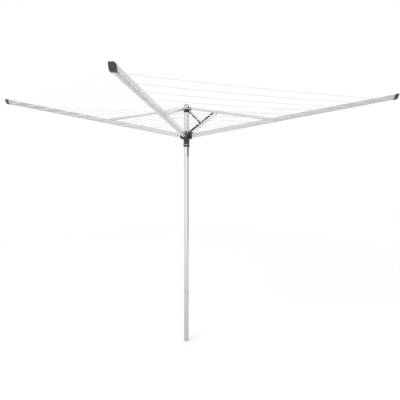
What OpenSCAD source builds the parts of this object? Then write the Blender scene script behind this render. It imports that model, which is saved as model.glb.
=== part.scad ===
/* [Overall] */
// Distance from the mast's axis to the outer end of each arm
arm_reach = 1350; // [1100:10:1650]
// Height at which the open arms' centre lines meet the mast's axis
arm_root_height = 1463; // [1200:5:1780]
// Angle that an open arm rises above the horizontal
arm_rise = 10.6; // [8:0.2:13]

/* [Mast] */
// Outside diameter of both mast tubes
mast_d = 35; // [29:1:42]
// Wall of the mast tubes
mast_wall = 1.5; // [1.2:0.1:2.2]
// Length of the tube that stays in the ground socket
ground_tube_length = 368; // [300:2:440]
// Diameter of the spindle on which the upper mast turns
spindle_d = 24; // [18:1:25]
// Length of the spindle above its flange
spindle_length = 150; // [120:5:180]
// Length of each swivel bush
bush_length = 30; // [20:1:40]

/* [Arms] */
// Width of an arm's channel
arm_w = 25; // [23:0.5:30]
// Height of an arm's channel
arm_h = 30; // [26:0.5:36]
// Wall of an arm's channel
arm_wall = 1.5; // [1.2:0.1:2]
// Width of the lip rolled in along each upper edge of an arm
arm_lip = 0.6; // [0.4:0.1:2.4]
// Radius of an arm's lower corners
arm_corner = 5; // [3:0.5:7]
// How far an end cap stands out above and below the arm
cap_margin = 2; // [1.8:0.1:5]
// How far an end cap stands out on each side of the arm
cap_side = 2.5; // [2:0.1:6]
// Length of an end cap along the arm
cap_length = 26; // [24:1:36]
// How far both ends of an end cap slant back from top to bottom
cap_slant = 19; // [12:1:20]
// Thickness of an end cap beyond the end of the arm
cap_wall = 2.5; // [2:0.1:4]

/* [Braces] */
// Distance along the arm at which the brace joins it, before it is moved to suit the line rows
brace_reach = 618; // [580:2:640]
// Width of a brace's channel
brace_w = 15; // [13:0.5:15.5]
// Height of a brace's channel
brace_h = 17; // [14:0.5:19]
// Wall of a brace's channel
brace_wall = 1.3; // [1:0.1:1.8]
// Angle that a folded brace leans from the vertical
fold_lean = 3; // [2:0.2:5]

/* [Line] */
// Diameter of the drying line
line_d = 3.2; // [2.6:0.1:3.6]
// Rows of line on each side
rows = 8; // [5:1:8]
// Distance between rows, measured level
row_pitch = 118; // [100:1:130]
// Distance of the outer row from the arm's end, measured level
row_inset = 54; // [52:1:70]
// How far a row sags at the middle of its span
line_sag = 9; // [2:1:20]
// Bore of the grommets that carry the line
grommet_bore = 3.9; // [3.8:0.1:4.4]

/* [Fittings] */
// Diameter of the pins that the arms and braces turn on
pin_d = 6; // [5:0.5:7]
// Radius of the boss around an arm or brace pin
boss_r = 7.5; // [6.5:0.5:8.5]
// Thickness of the ear on an arm's root fitting
ear_w = 10; // [8:0.5:12]
// Thickness of each cheek that holds an ear
cheek_w = 5; // [4:0.5:6]
// Length of the runner's sleeve
sleeve_length = 61; // [50:1:80]
// Wall of the runner's sleeve
sleeve_wall = 2.5; // [2:0.1:3.5]
// Outside diameter of the hanging eye
eye_d = 34; // [28:1:40]
// Thickness of the hanging eye
eye_wire = 6; // [4:0.5:7]
// Width of the spring catch
catch_w = 7; // [5:0.5:9]
// Height of the spring catch
catch_h = 62; // [55:1:75]

/* [Clearances] */
// Gap between bodies that move past each other
gap = 0.3; // [0.2:0.05:0.5]
// Radial clearance of a pin that turns in its hole
pin_fit = 0.05; // [0.02:0.01:0.1]
// Radial clearance of the runner on the mast
runner_fit = 0.15; // [0.1:0.05:0.3]
// Radial clearance of a plug pushed into a tube
plug_fit = 0.05; // [0.02:0.01:0.1]

/* [Hidden] */
$fn = 48;

ALUMINIUM = [0.80, 0.81, 0.82];
STEEL = [0.68, 0.69, 0.70];
BLACK_PLASTIC = [0.13, 0.14, 0.15];
GREY_PLASTIC = [0.27, 0.28, 0.29];
NYLON = [0.86, 0.86, 0.82];
WHITE_LINE = [0.93, 0.93, 0.92];

joint_overlap = 0.5;                    // how far shapes of one piece run into each other
mast_r = mast_d / 2;
tube_bore_r = mast_r - mast_wall;
pin_r = pin_d / 2;
pin_hole_r = pin_r + pin_fit;

// The brace and the arm's inner part are equally long, and both turn at the same distance from
// the mast, so the runner travels straight down as they fold.
skirt_wall = 2.3;
skirt_r = mast_r + skirt_wall;
brace_clear = 0.7;
pivot_r = skirt_r + brace_clear + brace_h / 2;
arm_pin_lift = arm_h / 2 + boss_r + 2.1;
nest_gap = 1.5;
brace_pin_drop = arm_h / 2 - arm_wall - brace_h / 2 - nest_gap;

// Distances along an arm's centre line, and the level radius and height of a point beside it
function along(r, lift) = (r + lift * sin(arm_rise)) / cos(arm_rise);
function radius_at(x, lift) = x * cos(arm_rise) - lift * sin(arm_rise);
function height_at(x, lift) = arm_root_height + x * sin(arm_rise) + lift * cos(arm_rise);

line_drop = arm_h / 2 - arm_wall - 4;
row_radii = [for (k = [0 : rows - 1]) arm_reach - row_inset - k * row_pitch];
row_places = [for (r = row_radii) along(r, -line_drop)];

// The brace joins the arm just outboard of the nearest row
brace_row_gap = 20;
row_level = row_pitch / cos(arm_rise);
brace_row = max(1, min(rows - 1,
    round((row_places[0] - (brace_reach - brace_row_gap)) / row_level)));
brace_x = row_places[brace_row] + brace_row_gap;

arm_pin_x = along(pivot_r, arm_pin_lift);
arm_pin_z = height_at(arm_pin_x, arm_pin_lift);
brace_pin_r = radius_at(brace_x, -brace_pin_drop);
brace_pin_z = height_at(brace_x, -brace_pin_drop);
crown_pin_z = 2 * brace_pin_z - arm_pin_z;
brace_slope = atan2(brace_pin_z - arm_pin_z, brace_pin_r - pivot_r);
brace_length = norm([brace_pin_z - arm_pin_z, brace_pin_r - pivot_r]);

// Arm
heel_x = arm_pin_x + 6;
channel_start = heel_x + 1.5;
ear_root = heel_x + 13;
cap_corner = 7;
cap_h = arm_h + 2 * cap_margin;
cap_w = arm_w + 2 * cap_side;
cap_end = along(arm_reach, cap_h / 2 - cap_corner);
channel_end = cap_end - cap_slant - cap_wall;
yoke_plug_length = 46;
rivet_r = 2.2;
rivet_head_r = 4;
rivet_head_h = 1.2;
yoke_rivet_places = [channel_start + 14, channel_start + 34];
grommet_wall = 1.1;
grommet_r = grommet_bore / 2 + grommet_wall;

// Crown, from the height of the brace pins
hub_top = crown_pin_z - 6;
mast_top = hub_top - 4;
crown_plate_bottom = crown_pin_z - 12;
crown_skirt_bottom = crown_pin_z - 26;
crown_plug_bottom = crown_pin_z - 50;
crown_top = crown_pin_z + 6.5;
crown_r = pivot_r + boss_r - 1;
slot_w = brace_w + 2 * 0.4;
crown_pin_half = slot_w / 2 + 7;
screw_z = crown_pin_z - 19;
eye_mean_r = (eye_d - eye_wire) / 2;
eye_z = hub_top + eye_d / 2 + 0.2;

// Runner, from the height of the arm pins and the lowest corner of an arm's root
shelf_top = height_at(heel_x, -arm_h / 2) - gap;
shelf_r = pivot_r + 12;
shelf_h = 6;
runner_head = arm_pin_z - 8;
sleeve_bore_r = mast_r + runner_fit;
sleeve_r = sleeve_bore_r + sleeve_wall;
sleeve_bottom = shelf_top - sleeve_length;
collar_h = 12.5;
collar_wall = 1.8;
band_h = 6;
cheek_reach = heel_x * cos(arm_rise) - arm_h / 2 * sin(arm_rise) - 0.8;

// Swivel
spindle_flange = 3;
spindle_flange_step = 0.3;
mast_bottom = ground_tube_length + spindle_flange + gap;
spindle_plug_length = 50;

// Spring catch
catch_azimuth = -45;
catch_top = sleeve_bottom - gap;
catch_pin_in = mast_r / 2;
catch_pin_z = catch_top - catch_h + 4;
catch_pin_r = 2;
catch_stand = 6;

// Frames in which the pieces are drawn
module around_mast(i) {
    rotate([0, 0, 90 * (i - 2)]) children();
}

module in_arm(i) {
    around_mast(i) translate([0, 0, arm_root_height]) rotate([0, -arm_rise, 0]) children();
}

module in_brace(i) {
    around_mast(i) translate([pivot_r, 0, crown_pin_z]) rotate([0, brace_slope, 0]) children();
}

module across(length, r) {
    rotate([90, 0, 0]) cylinder(h = length, r = r, center = true);
}

// Extrudes a side view, drawn as distance along and height, to a width across the arm
module side_view(width) {
    rotate([90, 0, 0]) linear_extrude(width, center = true) children();
}

// Extrudes a section, drawn as width and height, along an arm or brace
module section_along(x0, x1) {
    translate([x0, 0, 0]) rotate([90, 0, 90]) linear_extrude(x1 - x0) children();
}

module round_bottom_box(w, h, corner) {
    translate([-w / 2, -h / 2 + corner]) square([w, h - corner]);
    translate([-w / 2 + corner, -h / 2]) square([w - 2 * corner, 2 * corner]);
    for (side = [-1, 1])
        translate([side * (w / 2 - corner), -h / 2 + corner]) circle(corner);
}

module channel_section(w, h, wall, lip, corner) {
    inner = w - 2 * wall;
    difference() {
        round_bottom_box(w, h, corner);
        difference() {
            round_bottom_box(inner, h - 2 * wall, max(0.5, corner - wall));
            for (side = [-1, 1])
                if (lip > 0)
                    translate([side * inner / 2 - lip, h / 2 - 2 * wall])
                        square([2 * lip, wall + 1]);
        }
        translate([-inner / 2 + lip, 0]) square([inner - 2 * lip, h]);
    }
}

module tube(r_out, r_in, z0, z1) {
    translate([0, 0, z0]) difference() {
        cylinder(h = z1 - z0, r = r_out);
        translate([0, 0, -1]) cylinder(h = z1 - z0 + 2, r = r_in);
    }
}

// Ground tube and swivel
module lower_tube() {
    color(ALUMINIUM) tube(mast_r, tube_bore_r, 0, ground_tube_length);
}

module foot_plug() {
    plug_r = tube_bore_r - plug_fit;
    color(BLACK_PLASTIC) difference() {
        cylinder(h = 28, r = plug_r);
        translate([0, 0, 4]) cylinder(h = 30, r = plug_r - 3);
    }
}

module swivel_spindle() {
    color(STEEL) union() {
        translate([0, 0, ground_tube_length - spindle_plug_length])
            cylinder(h = spindle_plug_length + joint_overlap, r = tube_bore_r - plug_fit);
        translate([0, 0, ground_tube_length])
            cylinder(h = spindle_flange, r = mast_r - spindle_flange_step);
        translate([0, 0, ground_tube_length + spindle_flange - joint_overlap])
            cylinder(h = spindle_length + joint_overlap, d = spindle_d);
    }
}

module swivel_bush(z) {
    color(NYLON) tube(tube_bore_r - plug_fit, spindle_d / 2 + pin_fit, z, z + bush_length);
}

module lower_bush() {
    swivel_bush(mast_bottom);
}

module upper_bush() {
    swivel_bush(mast_bottom + spindle_length - bush_length);
}

// Mast
module mast_tube() {
    slot_low = catch_pin_z - 9;
    slot_high = sleeve_bottom + 3;
    color(ALUMINIUM) difference() {
        tube(mast_r, tube_bore_r, mast_bottom, mast_top);
        rotate([0, 0, catch_azimuth]) {
            translate([4, -catch_w / 2 - 0.4, slot_low])
                cube([mast_r, catch_w + 0.8, slot_high - slot_low]);
            translate([catch_pin_in, 0, catch_pin_z]) across(2 * mast_d, catch_pin_r + pin_fit);
        }
        for (azimuth = [45, 225]) rotate([0, 0, azimuth])
            translate([0, 0, screw_z]) rotate([0, 90, 0]) cylinder(h = mast_d, r = 1.9);
    }
}

module crown() {
    color(BLACK_PLASTIC) difference() {
        union() {
            translate([0, 0, crown_skirt_bottom])
                cylinder(h = hub_top - crown_skirt_bottom, r = skirt_r);
            translate([0, 0, crown_plug_bottom])
                cylinder(h = mast_top - crown_plug_bottom, r = tube_bore_r - plug_fit);
            difference() {
                translate([0, 0, crown_plate_bottom]) {
                    cylinder(h = 3, r1 = crown_r - 3, r2 = crown_r);
                    translate([0, 0, 3 - 0.01])
                        cylinder(h = crown_top - crown_plate_bottom - 5, r = crown_r);
                    translate([0, 0, crown_top - crown_plate_bottom - 2 - 0.02])
                        cylinder(h = 2, r1 = crown_r, r2 = crown_r - 2);
                }
                translate([0, 0, hub_top]) cylinder(h = 30, r1 = skirt_r - 0.5, r2 = skirt_r + 9);
                for (i = [1 : 4]) around_mast(i) {
                    translate([skirt_r - 0.01, -slot_w / 2, crown_plate_bottom - 1])
                        cube([30, slot_w, 60]);
                    translate([pivot_r, 0, crown_pin_z]) across(2 * crown_pin_half, pin_hole_r);
                }
            }
        }
        tube(mast_r + plug_fit, tube_bore_r - plug_fit, crown_plug_bottom - 1, mast_top);
        cylinder(h = 2 * crown_pin_z, r = 3.05);
        for (azimuth = [45, 225]) rotate([0, 0, azimuth])
            translate([6, 0, screw_z]) rotate([0, 90, 0]) cylinder(h = mast_d, r = 1.9);
    }
}

module crown_screws() {
    color(STEEL) for (azimuth = [45, 225]) rotate([0, 0, azimuth])
        translate([0, 0, screw_z]) rotate([0, 90, 0]) {
            translate([0, 0, 8]) cylinder(h = skirt_r + joint_overlap - 8, r = 1.8);
            translate([0, 0, skirt_r + 0.02]) difference() {
                cylinder(h = 2.2, r1 = 3.8, r2 = 2.8);
                for (turn = [0, 90]) rotate([0, 0, turn])
                    translate([-2, -0.4, 1.2]) cube([4, 0.8, 2]);
            }
        }
}

module hanging_eye() {
    stem_length = 22;
    color(GREY_PLASTIC) union() {
        translate([0, 0, eye_z]) rotate([90, 0, 0]) rotate_extrude($fn = 64)
            translate([eye_mean_r, 0]) circle(eye_wire / 2);
        translate([0, 0, hub_top]) cylinder(h = 3, r1 = 6.5, r2 = 4.5);
        translate([0, 0, hub_top - stem_length]) cylinder(h = stem_length + 4, r = 3);
    }
}

module brace_root_pins() {
    color(STEEL) for (i = [1 : 4]) around_mast(i)
        translate([pivot_r, 0, crown_pin_z]) across(2 * crown_pin_half - 0.6, pin_r);
}

module catch_pin() {
    length = 2 * sqrt(pow(mast_r - 0.3, 2) - pow(catch_pin_in + catch_pin_r, 2));
    color(STEEL) rotate([0, 0, catch_azimuth])
        translate([catch_pin_in, 0, catch_pin_z]) across(length, catch_pin_r);
}

module catch_spring() {
    thick = 0.8;
    back = -tube_bore_r + 0.4;
    low = catch_pin_z - 4;
    color(STEEL) rotate([0, 0, catch_azimuth]) side_view(catch_w - 1)
        polygon([[back, low], [back + thick, low], [back + thick, low + 14],
                 [catch_pin_in - 4.2, low + 34], [catch_pin_in - 4.2, low + 40],
                 [catch_pin_in - 5, low + 40], [catch_pin_in - 5, low + 34.6],
                 [back, low + 14.6]]);
}

module spring_catch() {
    front = mast_r + catch_stand;
    foot = catch_pin_z - 6;
    color(BLACK_PLASTIC) rotate([0, 0, catch_azimuth]) difference() {
        side_view(catch_w)
            polygon([[catch_pin_in - 4, foot + 3], [catch_pin_in + 3, foot],
                     [mast_r - 0.4, foot + 5], [front - 0.6, catch_top - 9],
                     [front, catch_top - 5], [front, catch_top - 1.4],
                     [mast_r + 0.2, catch_top], [catch_pin_in + 4, catch_top],
                     [catch_pin_in - 4, catch_top - 18]]);
        translate([catch_pin_in, 0, catch_pin_z]) across(2 * catch_w, catch_pin_r + pin_fit);
    }
}

// Runner
module runner_cheek() {
    side_view(cheek_w) union() {
        polygon([[sleeve_r - 2, shelf_top - 1], [cheek_reach, shelf_top - 1],
                 [cheek_reach, shelf_top + 22], [pivot_r + boss_r - 1, arm_pin_z - 5],
                 [pivot_r, arm_pin_z], [pivot_r - boss_r, arm_pin_z],
                 [sleeve_r - 2, runner_head]]);
        translate([pivot_r, arm_pin_z]) circle(boss_r);
    }
}

module runner() {
    color(BLACK_PLASTIC) difference() {
        union() {
            translate([0, 0, sleeve_bottom])
                cylinder(h = runner_head - sleeve_bottom, r = sleeve_r);
            translate([0, 0, shelf_top - shelf_h - 7])
                cylinder(h = 7.01, r1 = sleeve_r - 0.01, r2 = shelf_r - 2);
            translate([0, 0, shelf_top - shelf_h]) cylinder(h = shelf_h, r = shelf_r);
            for (i = [1 : 4], side = [-1, 1]) around_mast(i)
                translate([0, side * (ear_w / 2 + gap + cheek_w / 2), 0]) runner_cheek();
        }
        translate([0, 0, sleeve_bottom - 1]) cylinder(h = 200, r = sleeve_bore_r);
        for (i = [1 : 4]) around_mast(i)
            translate([pivot_r, 0, arm_pin_z]) across(4 * ear_w, pin_hole_r);
    }
}

module runner_collar() {
    color(BLACK_PLASTIC)
        tube(sleeve_r + plug_fit + collar_wall, sleeve_r + plug_fit, sleeve_bottom,
             sleeve_bottom + collar_h);
}

module runner_band() {
    color(STEEL)
        tube(sleeve_r + plug_fit + 1, sleeve_r + plug_fit, sleeve_bottom + collar_h + 0.3,
             sleeve_bottom + collar_h + 0.3 + band_h);
}

module arm_root_pins() {
    length = ear_w + 2 * gap + 2 * cheek_w - 0.4;
    color(STEEL) for (i = [1 : 4]) around_mast(i)
        translate([pivot_r, 0, arm_pin_z]) across(length, pin_r);
}

// Arms
module arm(i) {
    color(ALUMINIUM) in_arm(i) difference() {
        section_along(channel_start, channel_end)
            channel_section(arm_w, arm_h, arm_wall, arm_lip, arm_corner);
        for (x = row_places) translate([x, 0, -line_drop]) across(2 * arm_w, grommet_r);
        translate([brace_x, 0, -brace_pin_drop]) across(2 * arm_w, pin_hole_r);
        for (x = yoke_rivet_places) translate([x, 0, 0]) across(2 * arm_w, rivet_r + pin_fit);
    }
}

module arm_yoke(i) {
    inner_w = arm_w - 2 * arm_wall - 0.2;
    color(BLACK_PLASTIC) in_arm(i) difference() {
        union() {
            section_along(heel_x, channel_start - 0.1)
                round_bottom_box(arm_w, arm_h, arm_corner);
            section_along(channel_start - 1, channel_start + yoke_plug_length)
                intersection() {
                    round_bottom_box(inner_w, arm_h - 2 * arm_wall - 0.2,
                                     max(0.5, arm_corner - arm_wall));
                    translate([-arm_w, -arm_h]) square([2 * arm_w, arm_h + 6]);
                }
            side_view(ear_w) {
                polygon([[arm_pin_x - boss_r + 0.4, arm_pin_lift - 2], [heel_x - 2, 4],
                         [heel_x + 1, 0], [ear_root, 0], [ear_root, arm_h / 2],
                         [arm_pin_x + boss_r - 1.4, arm_pin_lift + 4]]);
                translate([arm_pin_x, arm_pin_lift]) circle(boss_r);
            }
        }
        translate([arm_pin_x, 0, arm_pin_lift]) across(2 * ear_w, pin_hole_r);
        for (x = yoke_rivet_places) translate([x, 0, 0]) across(2 * arm_w, rivet_r + pin_fit);
    }
}

// A rivet through the walls of an arm, with a domed head on each side
module through_rivet(r, head_r, head_h) {
    across(arm_w + 0.04, r);
    for (side = [0, 180]) rotate([0, 0, side]) translate([0, -arm_w / 2 - 0.01, 0])
        rotate([90, 0, 0]) cylinder(h = head_h, r1 = head_r, r2 = 0.7 * head_r);
}

module yoke_rivets(i) {
    color(STEEL) in_arm(i) for (x = yoke_rivet_places)
        translate([x, 0, 0]) through_rivet(rivet_r, rivet_head_r, rivet_head_h);
}

module end_cap(i) {
    low = -cap_h / 2;
    high = cap_h / 2;
    top_start = cap_end - cap_length;
    low_start = top_start - cap_slant;
    low_end = cap_end - cap_slant;
    color(GREY_PLASTIC) in_arm(i) difference() {
        intersection() {
            side_view(cap_w) {
                polygon([[low_start, low + 2], [low_start + 2, low], [low_end - 2, low],
                         [low_end, low + 2], [cap_end, high - cap_corner],
                         [cap_end - 2, high - 1], [cap_end - 5, high], [top_start + 1, high],
                         [top_start, high - 2]]);
            }
            translate([0, 0, -cap_h]) linear_extrude(2 * cap_h) union() {
                translate([low_start, -cap_w / 2])
                    square([cap_end - cap_corner - low_start, cap_w]);
                translate([low_start, -cap_w / 2 + cap_corner])
                    square([cap_end - low_start, cap_w - 2 * cap_corner]);
                for (side = [-1, 1])
                    translate([cap_end - cap_corner, side * (cap_w / 2 - cap_corner)])
                        circle(cap_corner);
            }
        }
        section_along(low_start - 1, channel_end + 0.2)
            round_bottom_box(arm_w + 0.2, arm_h + 0.2, arm_corner);
    }
}

module line_grommets(i) {
    flange_r = grommet_r + 1.6;
    color(GREY_PLASTIC) in_arm(i) for (x = row_places, side = [0, 180])
        translate([x, 0, -line_drop]) rotate([0, 0, side])
            translate([0, -arm_w / 2, 0]) rotate([90, 0, 0]) difference() {
                union() {
                    translate([0, 0, 0.01]) cylinder(h = 1.1, r1 = flange_r, r2 = flange_r - 0.7);
                    translate([0, 0, -arm_wall]) cylinder(h = arm_wall + 0.5, r = grommet_r - 0.05);
                }
                translate([0, 0, -arm_w / 4]) cylinder(h = arm_w / 2, d = grommet_bore);
            }
}

// Braces
module brace(i) {
    end_r = brace_h / 2;
    color(ALUMINIUM) in_brace(i) difference() {
        intersection() {
            section_along(-end_r, brace_length + end_r) mirror([0, 1])
                channel_section(brace_w, brace_h, brace_wall, 0, 3);
            side_view(2 * brace_w) {
                translate([0, -end_r]) square([brace_length, brace_h]);
                circle(end_r);
                translate([brace_length, 0]) circle(end_r);
            }
        }
        across(2 * brace_w, pin_hole_r);
        translate([brace_length, 0, 0]) across(2 * brace_w, pin_hole_r);
    }
}

module brace_pin(i) {
    color(STEEL) in_arm(i) translate([brace_x, 0, -brace_pin_drop])
        through_rivet(pin_r, pin_r + 2, 1.6);
}

module brace_washers(i) {
    space = (arm_w - 2 * arm_wall - brace_w) / 2;
    color(NYLON) in_arm(i) for (side = [-1, 1])
        translate([brace_x, side * (brace_w + space) / 2, -brace_pin_drop]) difference() {
            across(space - 2 * gap, pin_r + 3);
            across(space, pin_hole_r);
        }
}

// Drying line: each arm carries the half of every span on either side of it. The line runs
// straight through the arm and out of the grommets, and turns once it is clear of them.
line_exit = arm_w / 2 + 2.5;

function sag_at(s) = -line_sag * (1 - pow(1 - s, 2));

function half_span(r, side) =
    let (z = height_at(along(r, -line_drop), -line_drop),
         start = [r, side * line_exit, z],
         middle = [(r + line_exit) / 2, side * (r + line_exit) / 2, z])
    [for (s = [0, 0.3, 0.65, 1]) start + s * (middle - start) + [0, 0, sag_at(s)]];

function reversed(list) = [for (k = [len(list) - 1 : -1 : 0]) list[k]];

function line_route(r) = concat(reversed(half_span(r, -1)), half_span(r, 1));

// Rings stand across the route, and the first and last ones on the planes midway between arms
module swept_line(route, r, sides) {
    count = len(route);
    function way(k) =
        k == 0 ? [1, 1, 0] / sqrt(2) :
        k == count - 1 ? [-1, 1, 0] / sqrt(2) :
        let (d = route[k + 1] - route[k - 1]) d / norm(d);
    function ring(k) =
        let (d = way(k), u = [d[1], -d[0], 0] / norm([d[0], d[1]]), v = cross(u, d))
        [for (n = [0 : sides - 1]) route[k] + r * (u * cos(360 * n / sides) + v * sin(360 * n / sides))];
    points = [for (k = [0 : count - 1]) each ring(k)];
    walls = [for (k = [0 : count - 2], n = [0 : sides - 1], half = [0, 1])
        let (a = k * sides + n, b = k * sides + (n + 1) % sides)
        half == 0 ? [a, b, b + sides] : [a, b + sides, a + sides]];
    ends = [[for (n = [sides - 1 : -1 : 0]) n],
            [for (n = [0 : sides - 1]) (count - 1) * sides + n]];
    polyhedron(points, concat(walls, ends));
}

module line(i) {
    color(WHITE_LINE) around_mast(i) for (r = row_radii)
        swept_line(line_route(r), line_d / 2, 8);
}

lower_tube();
foot_plug();
swivel_spindle();
mast_tube();
lower_bush();
upper_bush();
crown();
crown_screws();
hanging_eye();
brace_root_pins();
catch_pin();
catch_spring();
spring_catch();
runner();
runner_collar();
runner_band();
arm_root_pins();
for (i = [1 : 4]) {
    arm(i);
    arm_yoke(i);
    yoke_rivets(i);
    end_cap(i);
    line_grommets(i);
    brace(i);
    brace_pin(i);
    brace_washers(i);
    line(i);
}
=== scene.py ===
"""Rotary clothesline: the looks of its pieces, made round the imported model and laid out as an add-on."""

import math

import bpy
import numpy as np
from bpy.props import FloatProperty, FloatVectorProperty, IntProperty, PointerProperty
from bpy.types import Operator, Panel, PropertyGroup
from mathutils import Matrix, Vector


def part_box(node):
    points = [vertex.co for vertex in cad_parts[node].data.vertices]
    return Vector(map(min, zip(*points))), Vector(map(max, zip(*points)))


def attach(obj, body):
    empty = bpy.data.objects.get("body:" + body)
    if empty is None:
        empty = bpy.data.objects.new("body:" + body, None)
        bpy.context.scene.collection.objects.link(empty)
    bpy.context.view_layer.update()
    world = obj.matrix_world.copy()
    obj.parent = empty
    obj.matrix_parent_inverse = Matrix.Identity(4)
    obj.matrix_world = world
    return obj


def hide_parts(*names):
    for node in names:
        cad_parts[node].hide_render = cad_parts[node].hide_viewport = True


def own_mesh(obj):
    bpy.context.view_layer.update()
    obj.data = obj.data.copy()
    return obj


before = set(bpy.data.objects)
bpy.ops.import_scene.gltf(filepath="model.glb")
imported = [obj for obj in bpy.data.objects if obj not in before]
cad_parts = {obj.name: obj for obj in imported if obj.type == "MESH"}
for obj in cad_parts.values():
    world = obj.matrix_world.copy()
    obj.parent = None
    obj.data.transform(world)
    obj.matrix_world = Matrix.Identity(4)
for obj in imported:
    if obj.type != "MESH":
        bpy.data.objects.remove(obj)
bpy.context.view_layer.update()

bl_info = {
    "name": "Rotary Clothesline",
    "version": (1, 0, 0),
    "blender": (4, 5, 0),
    "location": "3D View > Sidebar > Clothesline",
    "description": "Finishes, moulded fittings, tubes and drying line for a rotary clothesline",
    "category": "Add Mesh",
}

# ---------------------------------------------------------------------------------------------
# Sizes, in metres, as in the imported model

MM = 0.001
ARMS = (1, 2, 3, 4)
QUARTER = math.pi / 2

PIN_D = 6 * MM
ARM_W = 25 * MM
ARM_H = 30 * MM
ARM_WALL = 1.5 * MM
ARM_CORNER = 5 * MM
ARM_RISE = math.radians(10.6)
ARM_PIN_LIFT = 24.6 * MM          # of the root pin above the arm's centre line
LINE_DROP = 9.5 * MM              # of the line below the arm's centre line
LINE_EXIT = ARM_W / 2 + 2.5 * MM  # where the line turns, beside the arm's centre line
GROMMET_BORE = 3.9 * MM
BRACE_W = 15 * MM
BRACE_H = 17 * MM
BRACE_WALL = 1.3 * MM
BRACE_SLOPE = math.radians(7.837)
COLLAR_WALL, COLLAR_RIM = 1.8 * MM, 0.8 * MM
BAND_WALL, BAND_RIM = 1.0 * MM, 0.3 * MM
TUBE_RIM = 0.4 * MM
CAP_PLAY = 0.1 * MM               # between an arm and its cap, on each side
NOTCH_RUN = 20 * MM               # how far up the cap its notch fades out

# The eye's foot in millimetres: the radius of its spigot, then radii and heights above the crown
EYE_SPIGOT = 3.0
EYE_FOOT = ((7.5, 0), (7.3, 0.9), (6.2, 1.8), (4.6, 3.4), (3.6, 5))

# ---------------------------------------------------------------------------------------------
# Values of the finishes. A gloss is the roughness of a finish where it is smoothest.

DIE_LINES = (180 * MM, 0.5 * MM, 0.5 * MM)   # length, width and depth of an extrusion's grain
BROAD_LINES = 0.14                           # scale of its broad stripes against the fine lines
DIE_RELIEF, DIE_TINTS = 0.06 * MM, (0.94, 1.05)  # a tint is a share of the finish's colour
MAST_GLOSS, ARM_GLOSS, GLOSS_LOSS = 0.12, 0.2, 0.1
HOLLOW_PAINTED_SHADE, HOLLOW_DULLNESS = 0.45, 0.3    # brightness left by the painted shade, and added roughness, inside a channel
HOLLOW_EDGE = 0.05 * MM                      # how far the inside's painted shade and dullness run into the walls
LIP_EDGE = 0.15 * MM                         # how far they stop short of an arm's open top
FOOT_PAINTED_SHADE = 0.74                            # painted shade: brightness left to the mast's metal near the ground
FOOT_FADE = (0.2, 0.9)                       # heights at which that starts and ends to fade
NYLON_GLOSS, NYLON_GRIT = 0.48, 0.6 * MM
POLYPROPYLENE_GLOSS, POLYPROPYLENE_GRIT = 0.42, 0.7 * MM
POLYETHYLENE_GLOSS, POLYETHYLENE_GRIT = 0.45, 0.5 * MM
GRIT_RELIEF, WORN_PATCH = 0.08 * MM, 22 * MM
WEAR_DULLNESS, WEAR_TINTS = 0.16, (0.82, 1.25)
ZINC_CLOUD, ZINC_GLOSS = 2 * MM, (0.24, 0.42)
BUSH_HAZE, BUSH_GLOSS = 4 * MM, (0.3, 0.5)
# strands of the line, their relief, and the shares of its colour in the painted shade of their grooves and
# on their tops
STRANDS, STRAND_RELIEF, STRAND_PAINTED_SHADE_TINTS = 3, 0.1 * MM, (0.88, 1.0)

# ---------------------------------------------------------------------------------------------
# The studio

# Brightness of the studio's walls by bearing in degrees, from the camera's side round to its right.
# The first two are the two ends that a colour ramp starts with.
WALLS = ((-180, 1.44), (180, 1.44), (-145, 1.2), (-110, 0.88), (-75, 0.92), (-55, 0.94), (-45, 1.0),
         (-32, 1.35), (-23, 1.52), (-12, 1.24), (1, 1.03), (41, 0.92), (70, 0.74), (96, 0.54),
         (132, 0.58), (146, 1.2), (160, 1.4))
RAMP_FULL = 2.0                   # brightness that the white of the walls' colour ramp stands for
CEILING_FADE = (0.3, 0.8)         # sines of the elevations where the walls end and the ceiling starts
KEY_SIZE, KEY_PLACE = 3.0, (-2.2, -3.2, 4.2)
KEY_TURN, KEY_TILT = math.radians(-35), math.radians(48)
FLOOR_RINGS, FLOOR_SIDES = 24, 96
SENSOR_WIDTH = 36.0

# ---------------------------------------------------------------------------------------------
# Places, read from the frame

MAST_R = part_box("lower_tube")[1].x
PIVOT_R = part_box("arm_root_pins")[1].x - PIN_D / 2
ARM_PIN_Z = (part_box("arm_root_pins")[0].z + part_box("arm_root_pins")[1].z) / 2
CROWN_PIN_Z = (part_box("brace_root_pins")[0].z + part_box("brace_root_pins")[1].z) / 2
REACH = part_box("end_cap_2")[1].x


def along(radius, lift):
    """Distance along an arm's centre line of a point beside it at that radius: (r + lift sin) / cos."""
    return (radius + lift * math.sin(ARM_RISE)) / math.cos(ARM_RISE)


ARM_PIN_X = along(PIVOT_R, ARM_PIN_LIFT)
ROOT_HEIGHT = ARM_PIN_Z - ARM_PIN_X * math.sin(ARM_RISE) - ARM_PIN_LIFT * math.cos(ARM_RISE)


# ---------------------------------------------------------------------------------------------
# Surfaces: each is a dict of points, quads between them, flat end faces and a (round, along) map

def about_mast(points, i):
    """Points turned about the mast to arm i's place: arm 2 lies along +X, and each next arm a quarter
    turn on."""
    c, s = math.cos(QUARTER * (i - 2)), math.sin(QUARTER * (i - 2))
    return points @ np.array([[c, s, 0], [-s, c, 0], [0, 0, 1]])


def in_arm(points, i):
    """Points given along, across and above arm i's centre line, tipped up by its rise, lifted and
    turned."""
    c, s = math.cos(ARM_RISE), math.sin(ARM_RISE)
    tipped = points @ np.array([[c, 0, s], [0, 1, 0], [-s, 0, c]])
    return about_mast(tipped + [0, 0, ROOT_HEIGHT], i)


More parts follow.
